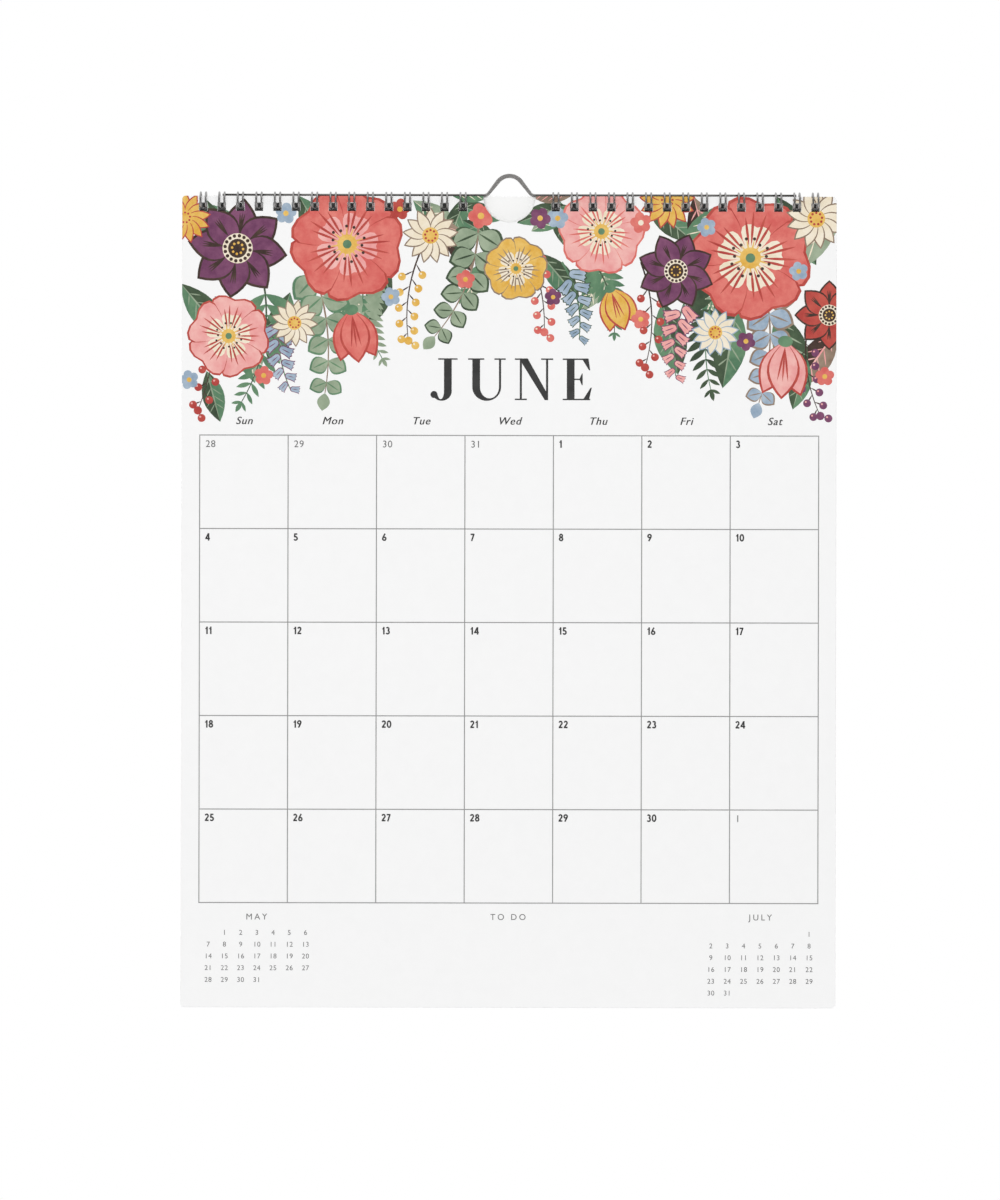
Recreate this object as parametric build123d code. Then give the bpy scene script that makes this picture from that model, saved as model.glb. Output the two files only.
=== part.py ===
from build123d import *

import math
import os

# A wire-bound wall calendar in millimetres. X runs along the binding, Y goes into the wall
# and Z is up. The origin is under the crown of the hanger, where the nail carries it.

# Sheets: the month in view with those to come, a back board, and the past months turned back.
sheet_width = 298.5
sheet_height = 370.0
sheet_corner_radius = 1.5
paper_thickness = 0.15
sheets_in_front = 9
sheets_turned = 4
board_thickness = 0.55

# Punching along the top edge, three holes to the inch, with none beside the thumb notch.
hole_pitch = 25.4 / 3
hole_size = 4.0
hole_margin = 2.9
least_end_margin = 5.0
pitches_between_combs = 5
thumb_notch_radius = 12.0

# Twin-loop wire: two wires through each hole.
wire_size = 0.85
wire_spacing = 2.4
loop_sides = 12
loop_centre_drop = 2.0
loop_set_forward = 0.4

# Hanger: a straight rod through the loops, a little shorter than their row, with a hump in the middle.
hanger_end_inset = 18.25
hanger_diameter = 1.5
hump_rise = 8.8
hump_leg_angle = 50.0
crown_bend_radius = 6.4
foot_bend_radius = 3.0

# Clearances.
pages_to_hanger = 0.3
board_to_hanger = 0.1
turned_to_board = 0.05
sheets_to_loop = 0.12
hanger_to_loop = 0.1
seam_gap = 0.15

# Depths of the stack, from the hanger's axis plane.
hanger_radius = hanger_diameter / 2
pages_back = -hanger_radius - pages_to_hanger
pages_front = pages_back - sheets_in_front * paper_thickness
board_front = hanger_radius + board_to_hanger
board_back = board_front + board_thickness
turned_front = board_back + turned_to_board
turned_back = turned_front + sheets_turned * paper_thickness

# The pages turn about the middle of the strip between their holes and their top edge. Every
# loop is wide enough for that strip to spin in, and for the last turned sheet.
turn_axis_y = (pages_front + pages_back) / 2
turn_axis_depth = hole_margin / 2
strip_reach = math.hypot(turn_axis_depth, turn_axis_y - pages_front)
loop_y = -loop_set_forward
front_reach = math.hypot(turn_axis_y - loop_y, loop_centre_drop - turn_axis_depth) + strip_reach
rear_reach = math.hypot(turned_back - loop_y, loop_centre_drop)
loop_inner_radius = max(front_reach, rear_reach) + sheets_to_loop
loop_outer_radius = loop_inner_radius + wire_size

# Heights: the crown's underside is at zero, and the loops hang on the rod.
hanger_z = hanger_radius - hump_rise
hanger_in_loop = loop_inner_radius - hanger_to_loop - hanger_radius
loop_z = hanger_z - math.sqrt(hanger_in_loop**2 - loop_set_forward**2)
top_edge_z = loop_z + loop_centre_drop
turn_axis_z = top_edge_z - turn_axis_depth

# As many loops as the sheet's width has room for, and a hanger to suit.
last_hole_reach = sheet_width / 2 - least_end_margin - hole_size / 2
loops_per_comb = int(last_hole_reach / hole_pitch - pitches_between_combs / 2) + 1
loop_places = [(pitches_between_combs / 2 + i) * hole_pitch for i in range(loops_per_comb)]
hanger_length = sheet_width - 2 * hanger_end_inset


def punched_sheet(front, back, notched):
    """A sheet or a stack of them from one depth to another, punched along its top edge."""
    plane = Plane(origin=(0, front, top_edge_z), x_dir=(1, 0, 0), z_dir=(0, 1, 0))
    outline = Pos(0, sheet_height / 2) * RectangleRounded(sheet_width, sheet_height, sheet_corner_radius)
    hole = Pos(0, hole_margin + hole_size / 2) * Rectangle(hole_size, hole_size)
    outline -= [Pos(side * place) * hole for place in loop_places for side in (-1, 1)]
    if notched:
        outline -= Circle(thumb_notch_radius)
    return extrude(plane * outline, amount=back - front)


def wire_comb(side):
    """One bent wire of twin loops, with the seam hidden between the pages and the board."""
    flat_side_down = 180 / loop_sides
    outer = RegularPolygon(loop_outer_radius, loop_sides, rotation=flat_side_down)
    inner = RegularPolygon(loop_inner_radius, loop_sides, major_radius=False, rotation=flat_side_down)
    ring = Pos(loop_y, loop_z) * (outer - inner)
    root_back = board_front - seam_gap
    root_front = root_back - wire_size
    tip_back = root_front - seam_gap
    tip_front = tip_back - wire_size

    def below_centre(front, back):
        height = 2 * loop_outer_radius
        return Pos((front + back) / 2, loop_z - height / 2) * Rectangle(back - front, height)

    loop = ring - below_centre(tip_back, root_front)
    root = ring & below_centre(root_front, root_back)
    tip = ring & below_centre(tip_front, tip_back)

    def along_binding(profile, start, end):
        return Pos(start, 0, 0) * extrude(Plane.YZ * profile, amount=end - start)

    pieces = []
    for place in loop_places:
        centre = side * place
        left_wire = centre - wire_spacing / 2
        right_wire = centre + wire_spacing / 2
        pieces += [along_binding(loop, x - wire_size / 2, x + wire_size / 2) for x in (left_wire, right_wire)]
        pieces.append(along_binding(tip, left_wire + wire_size / 2, right_wire - wire_size / 2))
    lefts = sorted(side * place for place in loop_places)[:-1]
    root_length = hole_pitch - wire_spacing - wire_size
    for centre in lefts:
        root_start = centre + wire_spacing / 2 + wire_size / 2
        pieces.append(along_binding(root, root_start, root_start + root_length))
    return Part() + pieces


def hanger_rod():
    """Round rod with a hump that hooks over the nail."""
    leg_angle = math.radians(hump_leg_angle)
    corner_rise = hump_rise + crown_bend_radius * (1 / math.cos(leg_angle) - 1)
    foot_x = corner_rise / math.tan(leg_angle)
    corners = [(-hanger_length / 2, 0), (-foot_x, 0), (0, corner_rise), (foot_x, 0), (hanger_length / 2, 0)]
    bends = [foot_bend_radius, crown_bend_radius, foot_bend_radius]
    plane = Plane(origin=(0, 0, hanger_z), x_dir=(1, 0, 0), z_dir=(0, -1, 0))
    path = plane * FilletPolyline(*corners, radius=bends)
    return sweep(Plane(path @ 0, z_dir=path % 0) * Circle(hanger_radius), path=path)


nodes = {
    "month_pages": punched_sheet(pages_front, pages_back, notched=True),
    "back_board": punched_sheet(board_front, board_back, notched=False),
    "turned_sheets": punched_sheet(turned_front, turned_back, notched=True),
    "wire_comb_left": wire_comb(-1),
    "wire_comb_right": wire_comb(1),
    "hanger_rod": hanger_rod(),
}

os.makedirs("parts", exist_ok=True)
for name, solid in nodes.items():
    export_step(solid, f"parts/{name}.step")
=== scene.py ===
import math
import random

import bmesh
import bpy
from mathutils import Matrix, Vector
from mathutils.geometry import delaunay_2d_cdt


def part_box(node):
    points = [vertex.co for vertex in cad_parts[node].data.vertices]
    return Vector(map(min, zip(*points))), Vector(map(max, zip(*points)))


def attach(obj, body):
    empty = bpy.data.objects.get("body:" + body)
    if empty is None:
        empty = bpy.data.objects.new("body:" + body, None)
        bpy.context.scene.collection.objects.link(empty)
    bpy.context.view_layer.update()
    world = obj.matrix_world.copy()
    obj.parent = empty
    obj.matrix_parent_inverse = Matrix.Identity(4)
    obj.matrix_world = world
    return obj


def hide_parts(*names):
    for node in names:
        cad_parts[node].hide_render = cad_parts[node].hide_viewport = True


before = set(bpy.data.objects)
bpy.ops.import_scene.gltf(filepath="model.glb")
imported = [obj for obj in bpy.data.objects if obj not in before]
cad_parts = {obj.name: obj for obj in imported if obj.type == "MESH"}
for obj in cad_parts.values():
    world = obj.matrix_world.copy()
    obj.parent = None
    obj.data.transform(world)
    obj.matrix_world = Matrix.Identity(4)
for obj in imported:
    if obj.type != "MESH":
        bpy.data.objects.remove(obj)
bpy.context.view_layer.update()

# Back board: chipboard lined with white paper on both faces, punched with the sheets.
# Its guillotined edges and the walls of its holes show the grey core between the liners.
mm = 0.001
board_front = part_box("back_board")[0].y
board_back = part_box("back_board")[1].y
core_share = 0.84
half_core = (board_back - board_front) * core_share / 2
chip_size = 0.7 * mm
liner_cloud = 25 * mm
liner_tooth = 0.02 * mm

# The sockets of a colour Mix node share their names, so they go by number: two colours in, one out.
mix_from = 6
mix_to = 7
mixed = 2


def colour(code):
    """Turns an sRGB hex value into linear light."""
    parts = [int(code[place:place + 2], 16) / 255 for place in (1, 3, 5)]
    linear = [part / 12.92 if part <= 0.04045 else ((part + 0.055) / 1.055) ** 2.4 for part in parts]
    return (*linear, 1.0)


def add_node(tree, kind, inputs=None, **settings):
    """Adds a node with its settings, and links or sets its inputs."""
    node = tree.nodes.new(kind)
    for name, value in settings.items():
        setattr(node, name, value)
    for name, value in (inputs or {}).items():
        if isinstance(value, bpy.types.NodeSocket):
            tree.links.new(value, node.inputs[name])
        else:
            node.inputs[name].default_value = value
    return node


def start_material(name):
    """A bare material with its object coordinates ready."""
    material = bpy.data.materials.new(name)
    material.use_nodes = True
    material.node_tree.nodes.clear()
    place = add_node(material.node_tree, "ShaderNodeTexCoord").outputs["Object"]
    return material, material.node_tree, place


def mottle(tree, place, patch, dark, light, detail, roughness=0.5):
    """Two tones in soft patches of a real size, and the noise that lays them out."""
    noise = add_node(
        tree, "ShaderNodeTexNoise",
        {"Vector": place, "Scale": 1 / patch, "Detail": detail, "Roughness": roughness},
    )
    tones = add_node(
        tree, "ShaderNodeMix",
        {"Factor": noise.outputs["Fac"], mix_from: colour(dark), mix_to: colour(light)},
        data_type="RGBA",
    )
    return noise.outputs["Fac"], tones.outputs[mixed]


# White-lined chipboard: an even matt white face, and a speckled grey line along each cut edge.
white_lined_board, tree, place = start_material("white_lined_chipboard")
depth = add_node(tree, "ShaderNodeSeparateXYZ", {"Vector": place}).outputs["Y"]
from_middle = add_node(
    tree, "ShaderNodeMath", {0: depth, 1: (board_front + board_back) / 2}, operation="SUBTRACT"
)
off_middle = add_node(tree, "ShaderNodeMath", {0: from_middle.outputs[0]}, operation="ABSOLUTE")
liner = add_node(tree, "ShaderNodeMath", {0: off_middle.outputs[0], 1: half_core}, operation="GREATER_THAN")
speckle, core = mottle(tree, place, chip_size, "#8F8A80", "#BDB8AC", detail=4.0)
_, face = mottle(tree, place, liner_cloud, "#F5F5F4", "#FAFAF9", detail=3.0)
tint = add_node(
    tree, "ShaderNodeMix", {"Factor": liner.outputs[0], mix_from: core, mix_to: face}, data_type="RGBA"
)
tooth = add_node(tree, "ShaderNodeBump", {"Height": speckle, "Strength": 0.15, "Distance": liner_tooth})
skin = add_node(
    tree, "ShaderNodeBsdfPrincipled",
    {"Base Color": tint.outputs[mixed], "Roughness": 0.78, "Normal": tooth.outputs["Normal"]},
)
add_node(tree, "ShaderNodeOutputMaterial", {"Surface": skin.outputs["BSDF"]})
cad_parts["back_board"].data.materials.clear()
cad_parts["back_board"].data.materials.append(white_lined_board)

# Turned sheets: the cover and the past months, folded over the top and hanging behind the board.
# Each is one leaf of matt coated paper, with 30 square holes, round corners and a thumb notch.
leaf_low, leaf_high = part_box("turned_sheets")
sheet_width = leaf_high.x - leaf_low.x
top_edge = leaf_high.z
bottom_edge = leaf_low.z
corner_radius = 1.5 * mm
leaf_pitch = 0.15 * mm
leaf_thickness = 0.12 * mm
hole_pitch = 25.4 / 3 * mm
hole_size = 4.0 * mm
hole_margin = 2.9 * mm
loops_in_comb = 15
first_loop = 2.5 * hole_pitch
thumb_notch_radius = 12.0 * mm
punch_length = 20 * mm
curl_height = 44 * mm
curl_cuts = 9
weld_gap = 0.002 * mm
stack_drift = 0.14 * mm
sheets_turned = 4
turned_curls = [0.0] * sheets_turned
facing_front = (math.pi / 2, 0, 0)
chance = random.Random(7)


def deselect_all():
    bpy.ops.object.select_all(action="DESELECT")


def select_only(*objects):
    deselect_all()
    for one in objects:
        one.select_set(True)
    bpy.context.view_layer.objects.active = objects[0]


def edit_all_of(piece):
    """Opens one piece in edit mode with all of it selected."""
    select_only(piece)
    bpy.ops.object.mode_set(mode="EDIT")
    bpy.ops.mesh.select_all(action="SELECT")


def edit_edges_of(piece, wanted):
    """Opens one piece in edit mode with only the wanted edges selected."""
    select_only(piece)
    bpy.ops.object.mode_set(mode="EDIT")
    bpy.ops.mesh.select_mode(type="EDGE")
    bpy.ops.mesh.select_all(action="DESELECT")
    shape = bmesh.from_edit_mesh(piece.data)
    for edge in shape.edges:
        edge.select = wanted(edge)
    bmesh.update_edit_mesh(piece.data)


def join_all(objects, name):
    """Joins flat shapes or copies to one mesh, with its place in the mesh."""
    select_only(*objects)
    bpy.ops.object.join()
    joined = bpy.context.active_object
    bpy.ops.object.transform_apply()
    joined.name = name
    joined.data.name = name
    return joined


def copy_of(piece, name):
    twin = piece.copy()
    twin.data = piece.data.copy()
    twin.name = name
    bpy.context.scene.collection.objects.link(twin)
    return twin


def repeat_along(piece, step, join_gap=None):
    """Repeats a piece for all the holes of one comb, and joins the copies where they meet."""
    select_only(piece)
    row = piece.modifiers.new("row", "ARRAY")
    row.count = loops_in_comb
    row.use_relative_offset = False
    row.use_constant_offset = True
    row.constant_offset_displace = (step, 0, 0)
    if join_gap:
        row.use_merge_vertices = True
        row.merge_threshold = join_gap
    bpy.ops.object.modifier_apply(modifier=row.name)


# The punch: one square pin, repeated along both halves of the top edge, and a round one for the notch.
punches = []
for side in (-1, 1):
    deselect_all()
    pin_place = (side * first_loop, 0, top_edge - hole_margin - hole_size / 2)
    pin_size = (hole_size, punch_length, hole_size)
    bpy.ops.mesh.primitive_cube_add(size=1, location=pin_place, scale=pin_size)
    pin = bpy.context.active_object
    bpy.ops.object.transform_apply()
    repeat_along(pin, side * hole_pitch)
    punches.append(pin)
deselect_all()
bpy.ops.mesh.primitive_cylinder_add(
    vertices=64, radius=thumb_notch_radius, depth=punch_length,
    location=(0, 0, top_edge), rotation=facing_front,
)
punches.append(bpy.context.active_object)
punch = join_all(punches, "punch")

# One leaf: a thin slab with its corners rounded, then punched, then cut across so that its foot can curl.
deselect_all()
leaf_place = (0, 0, (top_edge + bottom_edge) / 2)
leaf_size = (sheet_width, leaf_thickness, top_edge - bottom_edge)
bpy.ops.mesh.primitive_cube_add(size=1, location=leaf_place, scale=leaf_size)
leaf = bpy.context.active_object
bpy.ops.object.transform_apply()
edit_edges_of(leaf, lambda edge: abs(edge.verts[0].co.y - edge.verts[1].co.y) > leaf_thickness / 2)
bpy.ops.mesh.bevel(offset=corner_radius, segments=5, affect="EDGES")
bpy.ops.object.mode_set(mode="OBJECT")
bite = leaf.modifiers.new("punch", "BOOLEAN")
bite.operation = "DIFFERENCE"
bite.solver = "EXACT"
bite.object = punch
bpy.ops.object.modifier_apply(modifier=bite.name)
bpy.data.objects.remove(punch)
edit_all_of(leaf)
for step in range(1, curl_cuts + 1):
    height = bottom_edge + curl_height * step / curl_cuts
    bpy.ops.mesh.bisect(plane_co=(0, 0, height), plane_no=(0, 0, 1))
    bpy.ops.mesh.select_all(action="SELECT")
bpy.ops.mesh.remove_doubles(threshold=weld_gap)
bpy.ops.object.mode_set(mode="OBJECT")


def foot_curl(height, reach):
    """How far forward the foot of a leaf has curled at a height."""
    below = max(0.0, bottom_edge + curl_height - height) / curl_height
    return -reach * below ** 2


# Matt coated paper: even and white, with a faint cloudiness of its fibres and a very fine tooth.
# The tooth is drawn at half a millimetre, far coarser than real fibres, so that it shows.
paper_cloud = 6 * mm
paper_fibre = 0.5 * mm
paper_tooth = 0.01 * mm
matt_paper, tree, place = start_material("matt_coated_paper")
_, tint = mottle(tree, place, paper_cloud, "#F5F5F5", "#F9F9F9", detail=5.0, roughness=0.6)
fibre = add_node(tree, "ShaderNodeTexNoise", {"Vector": place, "Scale": 1 / paper_fibre, "Detail": 3.0})
tooth = add_node(
    tree, "ShaderNodeBump",
    {"Height": fibre.outputs["Fac"], "Strength": 0.1, "Distance": paper_tooth},
)
skin = add_node(
    tree, "ShaderNodeBsdfPrincipled",
    {"Base Color": tint, "Roughness": 0.62, "Normal": tooth.outputs["Normal"]},
)
add_node(tree, "ShaderNodeOutputMaterial", {"Surface": skin.outputs["BSDF"]})

# Guillotined paper edge: a little greyer than the face, with short streaks left by the blade.
# The streaks are drawn coarser than real ones, so that they show.
blade_streak = 1.2 * mm
cut_edge, tree, place = start_material("guillotined_paper_edge")
_, tint = mottle(tree, place, blade_streak, "#CFCECB", "#E9E9E7", detail=2.0)
skin = add_node(tree, "ShaderNodeBsdfPrincipled", {"Base Color": tint, "Roughness": 0.85})
add_node(tree, "ShaderNodeOutputMaterial", {"Surface": skin.outputs["BSDF"]})
leaf.data.materials.append(matt_paper)
leaf.data.materials.append(cut_edge)
for side in leaf.data.polygons:
    side.material_index = 0 if abs(side.normal.y) > 0.5 else 1


def hang_leaves(name, front, curls, body, node):
    """Stacks copies of the leaf from the front back, each a hair out of line with the last."""
    leaves = []
    for number, curl in enumerate(curls):
        one = copy_of(leaf, f"{name}_{number + 1}")
        drift = 0 if number == 0 else stack_drift
        shift_x = chance.uniform(-drift, drift)
        shift_z = chance.uniform(-drift, 0)
        middle = front + (number + 0.5) * leaf_pitch
        for corner in one.data.vertices:
            corner.co.y += middle + foot_curl(corner.co.z, curl)
            corner.co.x += shift_x
            corner.co.z += shift_z
        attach(one, body)
        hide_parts(node)
        leaves.append(one)
    return leaves


for one in hang_leaves("turned_sheet", leaf_low.y, turned_curls, "binding", "turned_sheets"):
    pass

# Month pages: the month in view on top of the months to come, on the same paper.
# Their feet curl forward a little, the front one most, as paper does on a wall.
page_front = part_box("month_pages")[0].y
sheets_in_front = 9
front_curl = 1.5 * mm
# Each sheet curls a tenth of that less than the one before it.
page_curls = [front_curl * (1 - number / 10) for number in range(sheets_in_front)]
for one in hang_leaves("month_sheet", page_front, page_curls, "pages", "month_pages"):
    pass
bpy.data.objects.remove(leaf)
print_face = page_front + (leaf_pitch - leaf_thickness) / 2

# Calendar grid: seven columns and five rows of hairlines, printed in a soft grey.
# The lines are ink on the paper, so they are flat and lie just off its face.
ink_step = 0.03 * mm
week_days = 7
week_rows = 5
grid_left = -141.1 * mm
grid_right = 141.3 * mm
grid_top = top_edge - 109.2 * mm
grid_bottom = top_edge - 322.5 * mm
hairline = 0.45 * mm
column = (grid_right - grid_left) / week_days
row_height = (grid_top - grid_bottom) / week_rows


def printing_ink(name, dark, light, patch):
    """Offset ink on matt paper: flat, with a soft unevenness where it soaked in."""
    ink, tree, place = start_material(name)
    wash = add_node(
        tree, "ShaderNodeTexNoise",
        {"Vector": place, "Scale": 1 / patch, "Detail": 4.0, "Roughness": 0.65},
    )
    spread = add_node(
        tree, "ShaderNodeMapRange", {"Value": wash.outputs["Fac"], "From Min": 0.33, "From Max": 0.67}
    )
    tint = add_node(
        tree, "ShaderNodeMix",
        {"Factor": spread.outputs[0], mix_from: colour(dark), mix_to: colour(light)},
        data_type="RGBA",
    )
    skin = add_node(tree, "ShaderNodeBsdfPrincipled", {"Base Color": tint.outputs[mixed], "Roughness": 0.58})
    add_node(tree, "ShaderNodeOutputMaterial", {"Surface": skin.outputs["BSDF"]})
    return ink


def print_on_page(flat_print, ink):
    """Gives a flat print its ink, and lets it follow the curl of the front leaf."""
    flat_print.data.materials.append(ink)
    for corner in flat_print.data.vertices:
        corner.co.y += foot_curl(corner.co.z, page_curls[0])
    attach(flat_print, "pages")


deselect_all()
grid_middle = ((grid_left + grid_right) / 2, print_face - ink_step, (grid_top + grid_bottom) / 2)
bpy.ops.mesh.primitive_grid_add(
    x_subdivisions=week_days, y_subdivisions=week_rows, size=1, location=grid_middle, rotation=facing_front
)
grid_lines = bpy.context.active_object
grid_lines.scale = (grid_right - grid_left, grid_top - grid_bottom, 1)
bpy.ops.object.transform_apply()
edit_all_of(grid_lines)
bpy.ops.mesh.select_mode(type="FACE")
bpy.ops.mesh.inset(thickness=hairline / 2, use_individual=True)
bpy.ops.mesh.delete(type="FACE")
bpy.ops.object.mode_set(mode="OBJECT")
# The outermost lines grow outwards to the width of the rest.
grid_sides = ((0, grid_left, -1), (0, grid_right, 1), (2, grid_bottom, -1), (2, grid_top, 1))
for corner in grid_lines.data.vertices:
    for axis, edge, outward in grid_sides:
        if abs(corner.co[axis] - edge) < hairline / 4:
            corner.co[axis] += outward * hairline / 2
grid_lines.name = "grid_lines"
print_on_page(grid_lines, printing_ink("soft_grey_ink", "#8B8B8B", "#989898", 9 * mm))

# Dates: plain numbers in the corner of each day, bold charcoal in the month and thin grey outside it.
# The headings and the two small months below are plain words and numbers in the same inks.
charcoal_ink = printing_ink("charcoal_ink", "#323232", "#3D3D3D", 5 * mm)
pale_ink = printing_ink("pale_grey_ink", "#636363", "#717171", 5 * mm)
# Outlines are laid in plain millimetres, and a figure's strokes in shares of its height.
ink_face = print_face - 2 * ink_step
month_start = 4
month_days = 30
other_month_days = 31
date_inset = 2.6 * mm
date_drop = 5.5 * mm
date_height = 3.4
pen_width = 0.2
figure_gap = 0.13
outside_size = 4.5 * mm
small_size = 3.2 * mm
small_row = 5.36
heading_size = 3.9 * mm
heading_depth = 330.2 * mm
weekday_size = 4.9 * mm
weekday_depth = 104.2 * mm
bold_shift = 0.08
sliver_area = 0.001 * mm * mm
overlay_gap = 1e-5
inside_only = 1


def lay_flat(shapes, name):
    """Makes flat meshes of outlines in millimetres, one for each ink, with the later shapes on top.
    Each outline runs anticlockwise, and a shape whose ink is None leaves the paper bare."""
    corners = []
    outlines = []
    for _, outline in shapes:
        outlines.append(list(range(len(corners), len(corners) + len(outline))))
        corners += [Vector(point) for point in outline]
    points, _, faces, _, _, covers = delaunay_2d_cdt(corners, [], outlines, inside_only, overlay_gap, True)
    inked = {}
    for face, cover in zip(faces, covers):
        ink = shapes[max(cover)][0] if cover else None
        if ink:
            inked.setdefault(ink, []).append(face)
    made = {}
    for ink, pieces in inked.items():
        used = sorted({corner for piece in pieces for corner in piece})
        number = {corner: place for place, corner in enumerate(used)}
        mesh = bpy.data.meshes.new(f"{name}_{ink}")
        spots = [(points[corner].x * mm, ink_face, top_edge + points[corner].y * mm) for corner in used]
        mesh.from_pydata(spots, [], [[number[corner] for corner in piece] for piece in pieces])
        made[ink] = bpy.data.objects.new(f"{name}_{ink}", mesh)
        bpy.context.scene.collection.objects.link(made[ink])
    return made


def arc(x, z, wide, tall, start, end, steps=20):
    """Points along part of an ellipse, its angles anticlockwise from the right."""
    turns = [math.radians(start + (end - start) * step / steps) for step in range(steps + 1)]
    return [(x + wide * math.cos(turn), z + tall * math.sin(turn)) for turn in turns]


def bar(left, low, right, high):
    return [(left, low), (right, low), (right, high), (left, high)]


def ribbon(path):
    """The outline of one stroke of the pen along a path."""
    right = []
    left = []
    for place, (x, z) in enumerate(path):
        before = path[max(place - 1, 0)]
        after = path[min(place + 1, len(path) - 1)]
        run = math.dist(before, after) * 2 / pen_width
        across = ((after[1] - before[1]) / run, (before[0] - after[0]) / run)
        right.append((x + across[0], z + across[1]))
        left.append((x - across[0], z - across[1]))
    return right + left[::-1]


def ring(x, z, wide, tall):
    return [ribbon(arc(x, z, wide, tall, -90, 92, 10)), ribbon(arc(x, z, wide, tall, 90, 272, 10))]


# The ten numbers one unit tall: the strokes of each, and how wide it is.
six = ring(0.29, 0.29, 0.21, 0.21) + [ribbon([(0.40, 0.98), (0.22, 0.66), (0.09, 0.36)])]
numbers = {
    "0": (ring(0.30, 0.5, 0.22, 0.42), 0.60),
    "1": ([
        bar(0.16, 0.0, 0.16 + pen_width, 1.0),
        [(0.0, 0.74), (0.06, 0.64), (0.2, 0.74), (0.2, 0.92)],
    ], 0.38),
    "2": ([
        ribbon(arc(0.27, 0.7, 0.19, 0.22, 165, -35, 10)),
        ribbon([(0.44, 0.61), (0.08, 0.08)]),
        bar(0.02, 0.0, 0.53, pen_width),
    ], 0.55),
    "3": ([
        ribbon(arc(0.25, 0.73, 0.17, 0.19, 150, -85, 10)),
        ribbon(arc(0.25, 0.3, 0.21, 0.22, 85, -150, 12)),
    ], 0.54),
    "4": ([
        bar(0.35, 0.0, 0.35 + pen_width, 1.0),
        bar(0.0, 0.18, 0.63, 0.18 + pen_width),
        ribbon([(0.43, 0.96), (0.07, 0.24)]),
    ], 0.63),
    "5": ([
        bar(0.08, 1.0 - pen_width, 0.48, 1.0),
        ribbon([(0.16, 0.95), (0.12, 0.46)]),
        ribbon(arc(0.25, 0.31, 0.22, 0.23, 128, -150, 12)),
    ], 0.54),
    "6": (six, 0.58),
    "7": ([bar(0.01, 1.0 - pen_width, 0.52, 1.0), ribbon([(0.45, 0.93), (0.15, 0.0)])], 0.54),
    "8": (ring(0.29, 0.73, 0.17, 0.19) + ring(0.29, 0.29, 0.21, 0.21), 0.58),
    "9": ([[(0.58 - x, 1.0 - z) for x, z in stroke] for stroke in six], 0.58),
}


def write_word(word, x, depth, size, align="LEFT", lean=0.0, spacing=1.0):
    """A plain word or number on the page, its baseline at a depth below the top edge."""
    deselect_all()
    bpy.ops.object.text_add(location=(x, ink_face, top_edge - depth), rotation=facing_front)
    words = bpy.context.active_object
    words.data.body = word
    words.data.size = size
    words.data.align_x = align
    words.data.shear = lean
    words.data.space_character = spacing
    words.data.resolution_u = 4
    return words


def flatten_words(words, name):
    select_only(*words)
    bpy.ops.object.convert(target="MESH")
    return join_all(words, name)


month_numbers = []
outside_numbers = []
for day in range(week_days * week_rows):
    number = day - month_start + 1
    x = grid_left + (day % week_days) * column + date_inset
    depth = top_edge - grid_top + (day // week_days) * row_height + date_drop
    if 1 <= number <= month_days:
        pen = x / mm
        for figure in str(number):
            figure_strokes, figure_width = numbers[figure]
            for outline in figure_strokes:
                points = [(pen + along * date_height, up * date_height - depth / mm) for along, up in outline]
                month_numbers.append(("charcoal", points))
            pen += (figure_width + figure_gap) * date_height
    else:
        shown = number + other_month_days if number < 1 else number - month_days
        outside_numbers.append(write_word(str(shown), x, depth, outside_size, spacing=1.08))
print_on_page(lay_flat(month_numbers, "month_dates")["charcoal"], charcoal_ink)

# The small months: the weekday each starts on, its left column, column step and first row.
for first_day, left, step, start in ((1, -136.8, 7.40, 337.2), (6, 92.5, 7.47, 337.6)):
    for day in range(other_month_days):
        place_in_month = first_day + day
        x = (left + (place_in_month % week_days) * step) * mm
        depth = (start + (place_in_month // week_days) * small_row) * mm
        outside_numbers.append(write_word(str(day + 1), x, depth, small_size, "CENTER", spacing=1.1))
for word, x in (("MAY", -114.8), ("TO DO", 0.0), ("JULY", 115.1)):
    outside_numbers.append(write_word(word, x * mm, heading_depth, heading_size, "CENTER", spacing=1.45))
print_on_page(flatten_words(outside_numbers, "small_months"), pale_ink)

weekdays = []
for day, word in enumerate(("Sun", "Mon", "Tue", "Wed", "Thu", "Fri", "Sat")):
    x = grid_left + (day + 0.5) * column
    weekdays.append(write_word(word, x, weekday_depth, weekday_size, "CENTER", lean=0.28, spacing=1.12))
thin_heads = flatten_words(weekdays, "thin_heads")
# Each head is inked twice, a hair apart, and merged, which makes it bold.
bold_heads = []
for shift in (-bold_shift, bold_shift):
    for side in thin_heads.data.polygons:
        if side.area < sliver_area:
            continue
        spots = [thin_heads.data.vertices[corner].co for corner in side.vertices]
        if side.normal.y > 0:
            spots.reverse()
        bold_heads.append(("charcoal", [(spot.x / mm + shift, (spot.z - top_edge) / mm) for spot in spots]))
bpy.data.objects.remove(thin_heads)
heads = lay_flat(bold_heads, "weekday_heads")["charcoal"]
edit_all_of(heads)
bpy.ops.mesh.dissolve_limited(angle_limit=0.01)
bpy.ops.object.mode_set(mode="OBJECT")
print_on_page(heads, charcoal_ink)

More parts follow.
